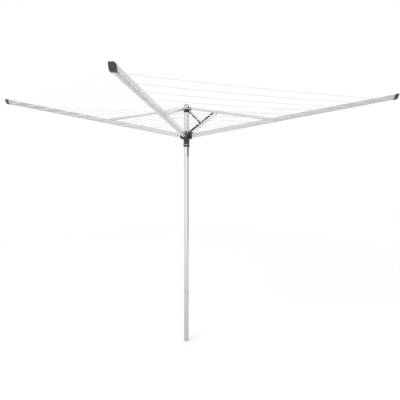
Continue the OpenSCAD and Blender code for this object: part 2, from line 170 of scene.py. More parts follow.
def skin(grid, round_rows=False, closed=True):
    """The surface over a grid of points: a quad between each four neighbours, its columns wrapped
    round, and its rows where they are round too, or else a flat face over each open end."""
    rows, columns = grid.shape[:2]
    number = np.arange(rows * columns).reshape(rows, columns)
    ends = []
    if closed and not round_rows:
        ends = [number[0].tolist(), number[-1, ::-1].tolist()]
    if round_rows:
        number = np.vstack([number, number[:1]])
    number = np.hstack([number, number[:, :1]])
    corners = [number[:-1, :-1], number[1:, :-1], number[1:, 1:], number[:-1, 1:]]
    quads = np.stack(corners, axis=-1).reshape(-1, 4)
    return {"points": grid.reshape(-1, 3), "quads": quads, "ends": ends}


def outward(surface):
    """The surface with its faces pointing out. Seen from the middle of the points, the volume under
    the quads, a sixth of a . (b x c) for each triangle, is negative where they point in."""
    p = surface["points"] - surface["points"].mean(axis=0)
    a, b, c, d = (p[surface["quads"][:, k]] for k in range(4))
    volume = np.einsum("ij,ij->", a, np.cross(b, c)) + np.einsum("ij,ij->", a, np.cross(c, d))
    if volume < 0:
        surface["quads"] = surface["quads"][:, ::-1]
        surface["ends"] = [end[::-1] for end in surface["ends"]]
    return surface


def placed(surface, place, *values):
    """The surface with its points moved by a placing function, and its faces pointing out."""
    return outward({**surface, "points": place(surface["points"], *values)})


def rounded(corners, radius, steps=3):
    """An outline with round corners. At each corner of half angle h an arc of radius r touches both
    sides at r / tan h from the corner, and its centre lies r / sin h along the bisector."""
    p = np.asarray(corners, float)
    u, v = np.roll(p, 1, axis=0) - p, np.roll(p, -1, axis=0) - p
    side_u, side_v = np.linalg.norm(u, axis=1), np.linalg.norm(v, axis=1)
    u, v = u / side_u[:, None], v / side_v[:, None]
    half = np.arccos(np.clip((u * v).sum(axis=1), -1, 1)) / 2
    reach = np.minimum(np.asarray(radius) / np.tan(half), 0.48 * np.minimum(side_u, side_v))
    arm = reach * np.tan(half) / np.sin(half)
    centre = p + (u + v) / np.linalg.norm(u + v, axis=1)[:, None] * arm[:, None]
    start, end = p + u * reach[:, None] - centre, p + v * reach[:, None] - centre
    sweep = (math.pi - 2 * half)[:, None, None]
    share = np.linspace(0, 1, steps + 1)[None, :, None]
    arc = np.sin((1 - share) * sweep) * start[:, None] + np.sin(share * sweep) * end[:, None]
    return (centre[:, None] + arc / np.sin(sweep)).reshape(-1, 2)


def lathe(profile, sides, solid=False):
    """A profile of (radius, height) points turned about the Z axis: (r cos a, r sin a, height). A
    closed profile gives a ring, and a solid one is open and gets flat ends."""
    profile = np.asarray(profile, float)
    angle = np.linspace(0, 2 * math.pi, sides, endpoint=False)
    around = np.stack([np.cos(angle), np.sin(angle), np.zeros(sides)], axis=1)
    grid = profile[:, 0, None, None] * around + profile[:, 1, None, None] * np.array([0, 0, 1.0])
    return skin(grid, round_rows=not solid)


def ring_profile(r_in, r_out, low, high, rim):
    """The closed section of a plain ring with its four edges rounded."""
    return rounded([(r_in, low), (r_out, low), (r_out, high), (r_in, high)], rim)


def swept(path, radius, sides=12, last_plane=None):
    """A round tube along a path: at each point a circle of the radius in the plane across the path,
    on axes u = path x Z and v = u x path. The last circle is slid along the path into last_plane,
    given by its normal, where one is named. The map is (share of the way round, length of the path)."""
    way = np.gradient(path, axis=0)
    way /= np.linalg.norm(way, axis=1)[:, None]
    u = np.cross(way, [0, 0, 1.0])
    u /= np.linalg.norm(u, axis=1)[:, None]
    v = np.cross(u, way)
    angle = np.linspace(0, 2 * math.pi, sides, endpoint=False)
    c, s = np.cos(angle)[None, :, None], np.sin(angle)[None, :, None]
    circle = radius * (c * u[:, None] + s * v[:, None])
    if last_plane is not None:
        off = circle[-1] @ last_plane / (way[-1] @ last_plane)
        circle[-1] -= off[:, None] * way[-1]
    surface = skin(path[:, None] + circle)
    run = np.r_[0, np.cumsum(np.linalg.norm(np.diff(path, axis=0), axis=1))]
    rows, columns = np.divmod(np.arange((len(path) - 1) * sides), sides)
    corner_u = (columns[:, None] + [0, 0, 1, 1]) / sides
    corner_v = run[rows[:, None] + [0, 1, 1, 0]]
    surface["map"] = np.stack([corner_u, corner_v], axis=-1)
    return surface


def make_piece(name, surfaces, material, body, replaces=(), smooth_angle=35):
    """One mesh object of the surfaces, shaded smooth up to an angle, with its place in its mesh."""
    points = np.concatenate([s["points"] for s in surfaces])
    offsets = np.cumsum([0] + [len(s["points"]) for s in surfaces])
    quads = np.concatenate([s["quads"] + o for s, o in zip(surfaces, offsets)])
    ends = [[v + int(o) for v in end] for s, o in zip(surfaces, offsets) for end in s["ends"]]
    mesh = bpy.data.meshes.new(name)
    mesh.from_pydata(points.tolist(), [], quads.tolist() + ends)
    if all("map" in s for s in surfaces):
        layer = mesh.uv_layers.new(name="RunOfLine")
        corners = np.concatenate([s["map"].reshape(-1, 2) for s in surfaces])
        whole = np.zeros((len(mesh.loops), 2))
        whole[:len(corners)] = corners
        layer.data.foreach_set("uv", whole.astype(np.float32).ravel())
    mesh.shade_smooth()
    mesh.set_sharp_from_angle(angle=math.radians(smooth_angle))
    mesh.materials.append(material)
    mesh.validate()
    piece = bpy.data.objects.new(name, mesh)
    bpy.context.scene.collection.objects.link(piece)
    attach(piece, body)
    if replaces:
        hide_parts(*replaces)
    return piece


# ---------------------------------------------------------------------------------------------
# Materials

def linear(hex_colour):
    """A hex sRGB colour as linear red, green and blue: ((c + 0.055) / 1.055) ^ 2.4 above the toe."""
    parts = [int(hex_colour[k:k + 2], 16) / 255 for k in (0, 2, 4)]
    return tuple(c / 12.92 if c <= 0.04045 else ((c + 0.055) / 1.055) ** 2.4 for c in parts)


def add_node(tree, kind, inputs, **settings):
    """Adds a node, sets its settings, and gives each named or numbered input a value or a link."""
    node = tree.nodes.new(kind)
    for key, value in settings.items():
        setattr(node, key, value)
    for key, value in inputs.items():
        if isinstance(value, bpy.types.NodeSocket):
            tree.links.new(value, node.inputs[key])
        else:
            node.inputs[key].default_value = value
    return node


def start_material(name, colour, **sockets):
    """A named material whose shader holds the constants, and its Object coordinates."""
    material = bpy.data.materials.new(name)
    material.use_nodes = True
    tree = material.node_tree
    shader = tree.nodes["Principled BSDF"]
    shader.inputs["Base Color"].default_value = (*colour, 1)
    for key, value in sockets.items():
        shader.inputs[key.replace("_", " ")].default_value = value
    coords = add_node(tree, "ShaderNodeTexCoord", {}).outputs["Object"]
    return material, tree, shader, coords


def tints(colour, shares):
    """The two ends of a mix, as a darker and a lighter share of a colour."""
    dark, light = ((*[min(1.0, share * c) for c in colour], 1) for share in shares)
    return {"A": dark, "B": light}


def drawn_aluminium(name, colour, place, turn, gloss, hollow=None):
    """Anodised aluminium, extruded: die lines run along the X of the place and turn given, and the
    satin surface is a little duller along some of them. Real ones are finer, and these are as coarse
    as they need to be to show. Inside a channel's hollow, given by half its width and the heights it
    lies between, painted shade darkens the metal, and it is duller. A piece without one is a mast
    tube, whose colour a painted shade darkens towards the ground."""
    material, tree, shader, coords = start_material(name, colour, Metallic=1.0)
    local = add_node(tree, "ShaderNodeMapping", {"Vector": coords, "Location": place, "Rotation": turn},
                     vector_type="TEXTURE").outputs[0]
    grain = add_node(tree, "ShaderNodeVectorMath", {0: local, 1: [1 / d for d in DIE_LINES]},
                     operation="MULTIPLY").outputs[0]
    fine = add_node(tree, "ShaderNodeTexNoise", {"Vector": grain, "Scale": 1.0, "Detail": 3.0})
    broad = add_node(tree, "ShaderNodeTexNoise", {"Vector": grain, "Scale": BROAD_LINES, "Detail": 2.0})
    dull = add_node(tree, "ShaderNodeMapRange", {"Value": broad.outputs["Fac"], "From Min": 0.3,
                                                 "From Max": 0.7, "To Min": gloss,
                                                 "To Max": gloss + GLOSS_LOSS})
    tint = add_node(tree, "ShaderNodeMix", {"Factor": fine.outputs["Fac"], **tints(colour, DIE_TINTS)},
                    data_type="RGBA")
    rough = dull.outputs["Result"]
    if hollow:
        # painted shade: inside the channel's hollow the metal's colour is darkened, and it is duller
        inside = within(tree, local, hollow)
        level = add_node(tree, "ShaderNodeMapRange", {"Value": inside, "To Min": 1.0,
                                                      "To Max": HOLLOW_PAINTED_SHADE})
        rough = add_node(tree, "ShaderNodeMath", {0: inside, 1: HOLLOW_DULLNESS, 2: rough},
                         operation="MULTIPLY_ADD").outputs[0]
    else:
        # painted shade: the mast's colour darkens towards the ground
        height = add_node(tree, "ShaderNodeSeparateXYZ", {0: coords}).outputs["Z"]
        level = add_node(tree, "ShaderNodeMapRange", {"Value": height, "From Min": FOOT_FADE[0],
                                                      "From Max": FOOT_FADE[1], "To Min": FOOT_PAINTED_SHADE,
                                                      "To Max": 1.0})
    shaded = add_node(tree, "ShaderNodeVectorMath", {0: tint.outputs["Result"],
                                                     "Scale": level.outputs["Result"]},
                      operation="SCALE")
    tree.links.new(shaded.outputs[0], shader.inputs["Base Color"])
    tree.links.new(rough, shader.inputs["Roughness"])
    bump = add_node(tree, "ShaderNodeBump", {"Height": fine.outputs["Fac"], "Strength": 0.25,
                                             "Distance": DIE_RELIEF})
    tree.links.new(bump.outputs["Normal"], shader.inputs["Normal"])
    return material


def within(tree, local, hollow):
    """One where a point lies inside a section's hollow, and nothing elsewhere."""
    half_width, low, high = hollow
    parts = add_node(tree, "ShaderNodeSeparateXYZ", {0: local}).outputs
    across = add_node(tree, "ShaderNodeMath", {0: parts["Y"]}, operation="ABSOLUTE").outputs[0]
    tests = [add_node(tree, "ShaderNodeMath", {0: value, 1: limit}, operation=kind).outputs[0]
             for value, limit, kind in ((across, half_width, "LESS_THAN"),
                                        (parts["Z"], low, "GREATER_THAN"),
                                        (parts["Z"], high, "LESS_THAN"))]
    pair = add_node(tree, "ShaderNodeMath", {0: tests[0], 1: tests[1]}, operation="MULTIPLY").outputs[0]
    return add_node(tree, "ShaderNodeMath", {0: pair, 1: tests[2]}, operation="MULTIPLY").outputs[0]


def moulded_plastic(name, colour, gloss, grit, edge):
    """Injection-moulded plastic: softly rounded edges, a spark-eroded grit from the mould, as coarse as
    it needs to be to show, and lighter and duller patches where hands and rain have worn it."""
    material, tree, shader, coords = start_material(name, colour, Metallic=0.0, IOR=1.5,
                                                    Specular_IOR_Level=0.32)
    texture = add_node(tree, "ShaderNodeTexNoise", {"Vector": coords, "Scale": 1 / grit, "Detail": 2.0})
    patches = add_node(tree, "ShaderNodeTexNoise", {"Vector": coords, "Scale": 1 / WORN_PATCH,
                                                    "Detail": 4.0})
    dull = add_node(tree, "ShaderNodeMapRange", {"Value": patches.outputs["Fac"], "From Min": 0.35,
                                                 "From Max": 0.7, "To Min": gloss,
                                                 "To Max": gloss + WEAR_DULLNESS})
    tree.links.new(dull.outputs["Result"], shader.inputs["Roughness"])
    tint = add_node(tree, "ShaderNodeMix", {"Factor": patches.outputs["Fac"],
                                            **tints(colour, WEAR_TINTS)}, data_type="RGBA")
    tree.links.new(tint.outputs["Result"], shader.inputs["Base Color"])
    soft = add_node(tree, "ShaderNodeBevel", {"Radius": edge}, samples=4)
    bump = add_node(tree, "ShaderNodeBump", {"Height": texture.outputs["Fac"], "Strength": 0.3,
                                             "Distance": GRIT_RELIEF, "Normal": soft.outputs[0]})
    tree.links.new(bump.outputs["Normal"], shader.inputs["Normal"])
    return material


def zinc_plated_steel(colour):
    """Zinc-plated steel: bright and slightly cloudy, in small patches about 2 mm across."""
    material, tree, shader, coords = start_material("zinc_plated_steel", colour, Metallic=1.0)
    clouds = add_node(tree, "ShaderNodeTexNoise", {"Vector": coords, "Scale": 1 / ZINC_CLOUD,
                                                   "Detail": 3.0})
    dull = add_node(tree, "ShaderNodeMapRange", {"Value": clouds.outputs["Fac"], "From Min": 0.3,
                                                 "From Max": 0.7, "To Min": ZINC_GLOSS[0],
                                                 "To Max": ZINC_GLOSS[1]})
    tree.links.new(dull.outputs["Result"], shader.inputs["Roughness"])
    return material


def natural_nylon(colour):
    """Natural nylon bushes and washers: milky white, with light going a little way in."""
    material, tree, shader, coords = start_material("natural_nylon", colour, Metallic=0.0, IOR=1.53,
                                                    Subsurface_Weight=0.2)
    haze = add_node(tree, "ShaderNodeTexNoise", {"Vector": coords, "Scale": 1 / BUSH_HAZE})
    dull = add_node(tree, "ShaderNodeMapRange", {"Value": haze.outputs["Fac"], "To Min": BUSH_GLOSS[0],
                                                 "To Max": BUSH_GLOSS[1]})
    tree.links.new(dull.outputs["Result"], shader.inputs["Roughness"])
    return material


def sheathed_line(colour, lay):
    """PVC-sheathed drying line: the strands of the cord inside show through its sheath as faint
    slanting ridges, each going round once in a length of lay. Painted shade darkens the colour in
    the grooves between the ridges, and it is lighter on their tops."""
    material, tree, shader, _ = start_material("pvc_sheathed_line", colour, Metallic=0.0, Roughness=0.45,
                                               IOR=1.53)
    run = add_node(tree, "ShaderNodeUVMap", {}, uv_map="RunOfLine")
    parts = add_node(tree, "ShaderNodeSeparateXYZ", {0: run.outputs[0]})
    turns = add_node(tree, "ShaderNodeMath", {0: parts.outputs["Y"], 1: 1 / lay}, operation="MULTIPLY")
    slant = add_node(tree, "ShaderNodeMath", {0: turns.outputs[0], 1: parts.outputs["X"]}, operation="ADD")
    angle = add_node(tree, "ShaderNodeMath", {0: slant.outputs[0], 1: 2 * math.pi * STRANDS},
                     operation="MULTIPLY")
    ridge = add_node(tree, "ShaderNodeMath", {0: angle.outputs[0]}, operation="SINE")
    bump = add_node(tree, "ShaderNodeBump", {"Height": ridge.outputs[0], "Strength": 0.5,
                                             "Distance": STRAND_RELIEF})
    tree.links.new(bump.outputs["Normal"], shader.inputs["Normal"])
    # painted shade: the colour follows the ridges, darkest in their grooves
    shade = add_node(tree, "ShaderNodeMapRange", {"Value": ridge.outputs[0], "From Min": -1.0,
                                                  "To Min": 0.0, "To Max": 1.0})
    tint = add_node(tree, "ShaderNodeMix", {"Factor": shade.outputs["Result"],
                                            **tints(colour, STRAND_PAINTED_SHADE_TINTS)}, data_type="RGBA")
    tree.links.new(tint.outputs["Result"], shader.inputs["Base Color"])
    return material


def finish_of(name):
    """A finish that the finishes operator has made, by name."""
    if name not in bpy.data.materials:
        raise RuntimeError(f"there is no finish {name}: make the finishes first")
    return bpy.data.materials[name]


# ---------------------------------------------------------------------------------------------
# What a user would change

class ClotheslineStage(PropertyGroup):
    floor_radius: FloatProperty(name="Floor radius", description="Radius of the round floor",
                                default=3.2, min=3.0, unit="LENGTH")
    floor_back: FloatProperty(name="Floor set back", description="Of its middle, away from the camera",
                              default=0.9, unit="LENGTH")
    floor_colour: FloatVectorProperty(name="Floor", description="Colour of the floor", size=3,
                                      subtype="COLOR", default=linear("ECECEC"))
    key_power: FloatProperty(name="Key light", description="Power of the large soft light",
                             default=45.0, min=0.0, unit="POWER")
    surround: FloatProperty(name="Surround", description="Brightness of the studio's walls", default=1.0,
                            min=0.0)
    overhead: FloatProperty(name="Overhead", description="Brightness of the studio's ceiling",
                            default=1.22, min=0.0)
    camera_distance: FloatProperty(name="Camera distance", description="From the mast's axis, level",
                                   default=3.06, unit="LENGTH")
    camera_height: FloatProperty(name="Camera height", description="Above the floor", default=1.433,
                                 unit="LENGTH")
    camera_turn: FloatProperty(name="Camera turn", description="About the mast, from straight in front",
                               default=math.radians(12.243), unit="ROTATION")
    camera_yaw: FloatProperty(name="Camera yaw", description="Aim to the right of the mast",
                              default=math.radians(1.767), unit="ROTATION")
    camera_pitch: FloatProperty(name="Camera pitch", description="Aim below the horizon",
                                default=math.radians(7.559), unit="ROTATION")
    camera_roll: FloatProperty(name="Camera roll", description="About the aim",
                               default=math.radians(0.254), unit="ROTATION")
    focal_length: FloatProperty(name="Focal length", description="On a 36 mm sensor, in millimetres",
                                default=39.87)


class ClotheslineFinish(PropertyGroup):
    mast_colour: FloatVectorProperty(name="Mast", description="Anodised aluminium of the mast", size=3,
                                     subtype="COLOR", default=linear("DEDEDE"))
    arm_colour: FloatVectorProperty(name="Arms", description="Anodised aluminium of arms and braces",
                                    size=3, subtype="COLOR", default=linear("BFBFBF"))
    black_colour: FloatVectorProperty(name="Black fittings", description="Moulded crown, runner and yokes",
                                      size=3, subtype="COLOR", default=linear("3A3B3C"))
    grey_colour: FloatVectorProperty(name="Grey fittings", description="Moulded end caps and eye", size=3,
                                     subtype="COLOR", default=linear("3E3F41"))
    grommet_colour: FloatVectorProperty(name="Grommets", description="Moulded line grommets", size=3,
                                        subtype="COLOR", default=linear("9C9D9F"))
    steel_colour: FloatVectorProperty(name="Steel", description="Zinc-plated pins, rivets and band",
                                      size=3, subtype="COLOR", default=linear("A6A7A9"))
    nylon_colour: FloatVectorProperty(name="Nylon", description="Bushes and washers", size=3,
                                      subtype="COLOR", default=linear("DCDAD0"))
    line_colour: FloatVectorProperty(name="Line", description="Sheath of the drying line", size=3,
                                     subtype="COLOR", default=linear("E8E8E8"))


class ClotheslineLine(PropertyGroup):
    rows: IntProperty(name="Rows", description="Rows of line on each side", default=8, min=1, max=8)
    pitch: FloatProperty(name="Pitch", description="Distance between rows, level", default=118 * MM,
                         unit="LENGTH")
    inset: FloatProperty(name="Inset", description="Of the outer row from the arm's end, level",
                         default=54 * MM, unit="LENGTH")
    diameter: FloatProperty(name="Diameter", description="Of the drying line", default=3.2 * MM,
                            unit="LENGTH")
    sag: FloatProperty(name="Sag", description="Of a row at the middle of its span", default=9 * MM,
                       unit="LENGTH")
    turn_radius: FloatProperty(name="Turn", description="Radius of the line's turn beside a grommet",
                               default=6 * MM, unit="LENGTH")
    lay: FloatProperty(name="Lay", description="Length in which the cord's strands go round once",
                       default=9 * MM, unit="LENGTH")


class ClotheslineFittings(PropertyGroup):
    cap_width: FloatProperty(name="Cap width", description="Of an end cap", default=30 * MM, unit="LENGTH")
    cap_height: FloatProperty(name="Cap height", description="Of an end cap", default=34 * MM,
                              unit="LENGTH")
    cap_length: FloatProperty(name="Cap length", description="Of an end cap, along the arm",
                              default=26 * MM, unit="LENGTH")
    cap_slant: FloatProperty(name="Cap slant", description="How far both its ends slant back",
                             default=19 * MM, unit="LENGTH")
    cap_corner: FloatProperty(name="Cap corner", description="Radius of its outer corners",
                              default=7 * MM, unit="LENGTH")
    cap_wall: FloatProperty(name="Cap wall", description="Thickness of the cap beyond the arm's end",
                            default=2.5 * MM, unit="LENGTH")
    cap_notch: FloatProperty(name="Cap notch", description="Depth of the notch under the arm",
                             default=11 * MM, unit="LENGTH")
    eye_diameter: FloatProperty(name="Eye", description="Outside diameter of the hanging eye",
                                default=34 * MM, unit="LENGTH")
    eye_wire: FloatProperty(name="Eye thickness", description="Thickness of the hanging eye",
                            default=6 * MM, unit="LENGTH")
    grommet_barrel: FloatProperty(name="Grommet", description="Diameter in the arm's wall",
                                  default=6 * MM, unit="LENGTH")
    grommet_flange: FloatProperty(name="Grommet flange", description="Beyond its barrel, all round",
                                  default=1.65 * MM, unit="LENGTH")
    grommet_face: FloatProperty(name="Grommet face", description="How far it stands out",
                                default=1.1 * MM, unit="LENGTH")
    tube_wall: FloatProperty(name="Tube wall", description="Wall of the mast tubes", default=1.5 * MM,
                             unit="LENGTH")
    edge: FloatProperty(name="Edge", description="Radius that breaks the edges of moulded fittings",
                        default=0.8 * MM, unit="LENGTH")


def settings():
    """The four property groups of the scene."""
    scene = bpy.context.scene
    return (scene.clothesline_stage, scene.clothesline_finish, scene.clothesline_line,
            scene.clothesline_fittings)


# ---------------------------------------------------------------------------------------------
# Operators

class CLOTHESLINE_OT_stage(Operator):
    """Makes the floor, the studio's light and the camera"""
    bl_idname = "clothesline.stage"
    bl_label = "Stage"

    def execute(self, context):
        stage = settings()[0]
        self.make_floor(stage)
        self.make_light(stage)
        self.make_camera(stage)
        context.scene.view_settings.view_transform = "Standard"
        return {"FINISHED"}

    def make_floor(self, stage):
        """A round floor: rings of points, each at the radius times the square of the ring's share."""
        radius = stage.floor_radius * np.linspace(0.001, 1, FLOOR_RINGS) ** 2
        angle = np.linspace(0, 2 * math.pi, FLOOR_SIDES, endpoint=False)
        middle = stage.floor_back * np.array([-math.sin(stage.camera_turn), math.cos(stage.camera_turn)])
        grid = np.stack([middle[0] + np.outer(radius, np.cos(angle)),
                         middle[1] + np.outer(radius, np.sin(angle)),
                         np.zeros((FLOOR_RINGS, FLOOR_SIDES))], axis=-1)
        surface = skin(grid, closed=False)
        faces = surface["quads"].tolist() + [list(range(FLOOR_SIDES))]
        mesh = bpy.data.meshes.new("floor")
        mesh.from_pydata(surface["points"].tolist(), [], faces)
        material, _, _, _ = start_material("matt_white_paint", tuple(stage.floor_colour), Roughness=0.9,
                                           Specular_IOR_Level=0.1)
        mesh.materials.append(material)
        floor = bpy.data.objects.new("floor", mesh)
        bpy.context.scene.collection.objects.link(floor)

    def make_light(self, stage):
        """A pale surround whose brightness goes round with the bearing from the camera's side, an even
        ceiling, white where it is seen, and one large soft light above and in front."""
        world = bpy.data.worlds.new("studio")
        world.use_nodes = True
        bpy.context.scene.world = world
        tree = world.node_tree
        tree.nodes.clear()
        way = add_node(tree, "ShaderNodeTexCoord", {}).outputs["Generated"]
        turned = add_node(tree, "ShaderNodeMapping", {"Vector": way,
                                                      "Rotation": (0, 0, -stage.camera_turn)})
        parts = add_node(tree, "ShaderNodeSeparateXYZ", {0: turned.outputs[0]}).outputs
        front = add_node(tree, "ShaderNodeMath", {0: parts["Y"], 1: -1.0}, operation="MULTIPLY")
        bearing = add_node(tree, "ShaderNodeMath", {0: parts["X"], 1: front.outputs[0]},
                           operation="ARCTAN2")
        share = add_node(tree, "ShaderNodeMapRange", {"Value": bearing.outputs[0], "From Min": -math.pi,
                                                      "From Max": math.pi})
        ramp = add_node(tree, "ShaderNodeValToRGB", {0: share.outputs["Result"]})
        stops = ramp.color_ramp.elements
        for k, (degrees, level) in enumerate(WALLS):
            place, grey = degrees / 360 + 0.5, level / RAMP_FULL
            stop = stops[k] if k < 2 else stops.new(place)
            stop.position, stop.color = place, (grey, grey, grey, 1)
        walls = add_node(tree, "ShaderNodeMath", {0: ramp.outputs["Color"], 1: RAMP_FULL * stage.surround},
                         operation="MULTIPLY")
        height = add_node(tree, "ShaderNodeMapRange", {"Value": parts["Z"], "From Min": CEILING_FADE[0],
                                                       "From Max": CEILING_FADE[1]},
                          interpolation_type="SMOOTHSTEP")
        level = add_node(tree, "ShaderNodeMix", {"Factor": height.outputs["Result"], "A": walls.outputs[0],
                                                 "B": stage.overhead}, data_type="FLOAT")
        wall = add_node(tree, "ShaderNodeBackground", {"Color": (1, 1, 1, 1), "Strength": level.outputs[0]})
        white = add_node(tree, "ShaderNodeBackground", {"Color": (1, 1, 1, 1), "Strength": 1.0})
        seen = add_node(tree, "ShaderNodeLightPath", {}).outputs["Is Camera Ray"]
        both = add_node(tree, "ShaderNodeMixShader", {0: seen, 1: wall.outputs[0], 2: white.outputs[0]})
        add_node(tree, "ShaderNodeOutputWorld", {"Surface": both.outputs[0]})
        lamp = bpy.data.lights.new("key", "AREA")
        lamp.shape = "DISK"
        lamp.size = KEY_SIZE
        lamp.energy = stage.key_power
        key = bpy.data.objects.new("key", lamp)
        key.matrix_world = (Matrix.Translation(KEY_PLACE) @ Matrix.Rotation(KEY_TURN, 4, "Z")
                            @ Matrix.Rotation(KEY_TILT, 4, "X"))
        bpy.context.scene.collection.objects.link(key)

    def make_camera(self, stage):
        """The camera looks in along its yaw and pitch from a point in front of the mast, and all of it
        is turned about the mast."""
        data = bpy.data.cameras.new("camera")
        data.lens = stage.focal_length
        data.sensor_width = SENSOR_WIDTH
        data.clip_end = 200.0
        camera = bpy.data.objects.new("camera", data)
        camera.matrix_world = (
            Matrix.Rotation(stage.camera_turn, 4, "Z")
            @ Matrix.Translation((0, -stage.camera_distance, stage.camera_height))
            @ Matrix.Rotation(-stage.camera_yaw, 4, "Z")
            @ Matrix.Rotation(QUARTER - stage.camera_pitch, 4, "X")
            @ Matrix.Rotation(stage.camera_roll, 4, "Z"))
        bpy.context.scene.collection.objects.link(camera)
        bpy.context.scene.camera = camera


class CLOTHESLINE_OT_finishes(Operator):
    """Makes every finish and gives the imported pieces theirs"""
    bl_idname = "clothesline.finishes"
    bl_label = "Finishes"

    def execute(self, context):
        _, finish, line, sizes = settings()
        made = {
            "mast_aluminium": drawn_aluminium("anodised_mast_tube", tuple(finish.mast_colour), (0, 0, 0),
                                              (0, -QUARTER, 0), MAST_GLOSS),
            "black_plastic": moulded_plastic("black_glass_filled_nylon", tuple(finish.black_colour),
                                             NYLON_GLOSS, NYLON_GRIT, sizes.edge),
            "grey_plastic": moulded_plastic("grey_polypropylene", tuple(finish.grey_colour),
                                            POLYPROPYLENE_GLOSS, POLYPROPYLENE_GRIT, sizes.edge),
            "steel": zinc_plated_steel(tuple(finish.steel_colour)),
            "nylon": natural_nylon(tuple(finish.nylon_colour)),
            "drying_line": sheathed_line(tuple(finish.line_colour), line.lay),
        }
        pale = moulded_plastic("pale_grey_polyethylene", tuple(finish.grommet_colour),
                               POLYETHYLENE_GLOSS, POLYETHYLENE_GRIT, sizes.edge / 4)
        # the hollows of arms and braces, where painted shade darkens the metal inside
        arm_hollow = (ARM_W / 2 - ARM_WALL + HOLLOW_EDGE, -ARM_H / 2 + ARM_WALL - HOLLOW_EDGE,
                      ARM_H / 2 - LIP_EDGE)
        brace_hollow = (BRACE_W / 2 - BRACE_WALL + HOLLOW_EDGE, -BRACE_H,
                        BRACE_H / 2 - BRACE_WALL + HOLLOW_EDGE)
        for i in ARMS:
            turn = QUARTER * (i - 2)
            crown_pin = (PIVOT_R * math.cos(turn), PIVOT_R * math.sin(turn), CROWN_PIN_Z)
            made[f"arm_{i}"] = drawn_aluminium(f"anodised_arm_{i}", tuple(finish.arm_colour),
                                               (0, 0, ROOT_HEIGHT), (0, -ARM_RISE, turn), ARM_GLOSS,
                                               arm_hollow)
            made[f"brace_{i}"] = drawn_aluminium(f"anodised_brace_{i}", tuple(finish.arm_colour),
                                                 crown_pin, (0, BRACE_SLOPE, turn), ARM_GLOSS,
                                                 brace_hollow)
            made[f"line_grommets_{i}"] = pale
        for name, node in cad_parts.items():
            slot = node.material_slots[0]
            slot.material = made[name] if name in made else made[slot.material.name.split(".")[0]]
        return {"FINISHED"}


class CLOTHESLINE_OT_drying_line(Operator):
    """Makes the drying line: a run through each arm's grommets and a half span on either side of it"""
    bl_idname = "clothesline.drying_line"
    bl_label = "Drying line"

    def execute(self, context):
        _, _, line, _ = settings()
        for i in ARMS:
            runs = [self.through_run(line, row, i) for row in range(line.rows)]
            make_piece(f"line_through_arm_{i}", runs, finish_of("pvc_sheathed_line"), f"arm_{i}",
                       replaces=[f"line_{i}"], smooth_angle=60)
            for row in range(line.rows):
                for side, label in ((-1, "left"), (1, "right")):
                    self.make_half_span(line, row, i, side, f"line_{i}_row_{row + 1}_{label}")
        return {"FINISHED"}

    def level_of(self, radius):
        """Height of a row's line: on the arm, the drop below its centre line."""
        x = along(radius, -LINE_DROP)
        return ROOT_HEIGHT + x * math.sin(ARM_RISE) - LINE_DROP * math.cos(ARM_RISE)

    def turn_points(self, line, row):
        """Half a run in arm 2's place: straight out of the grommet, then an arc of an eighth of a
        circle, (R cos t - R, R sin t) on from its start, into the way to the next arm."""
        radius = REACH - line.inset - row * line.pitch
        reach = line.turn_radius * math.tan(math.pi / 8)
        t = np.linspace(0, math.pi / 4, 6)
        arc = np.stack([radius + line.turn_radius * (np.cos(t) - 1),
                        LINE_EXIT - reach + line.turn_radius * np.sin(t),
                        np.full(len(t), self.level_of(radius))], axis=1)
        return np.vstack([[radius, 0, self.level_of(radius)], arc])

    def through_run(self, line, row, i):
        """One row's line inside arm i, from turn to turn."""
        half = self.turn_points(line, row)
        path = np.vstack([(half * [1, -1, 1])[:0:-1], half])
        return placed(swept(path, line.diameter / 2), about_mast, i)

    def make_half_span(self, line, row, i, side, name):
        """From the turn to the plane midway between two arms, on a parabola: at share s it hangs
        sag (1 - (1 - s)^2) below the straight way."""
        turned = self.turn_points(line, row)
        radius, start = turned[0, 0], turned[-1]
        middle = np.array([(radius + LINE_EXIT) / 2, (radius + LINE_EXIT) / 2, start[2]])
        s = np.linspace(0, 1, 25)[:, None]
        path = start + s * (middle - start) - [0, 0, line.sag] * (1 - (1 - s) ** 2)
        mirror = np.array([1, side, 1])
        plane = np.array([1, -1, 0]) * mirror
        tube = swept(path * mirror, line.diameter / 2, last_plane=plane)
        piece = make_piece(name, [placed(tube, about_mast, i)], finish_of("pvc_sheathed_line"),
                           f"arm_{i}", smooth_angle=60)
        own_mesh(piece)


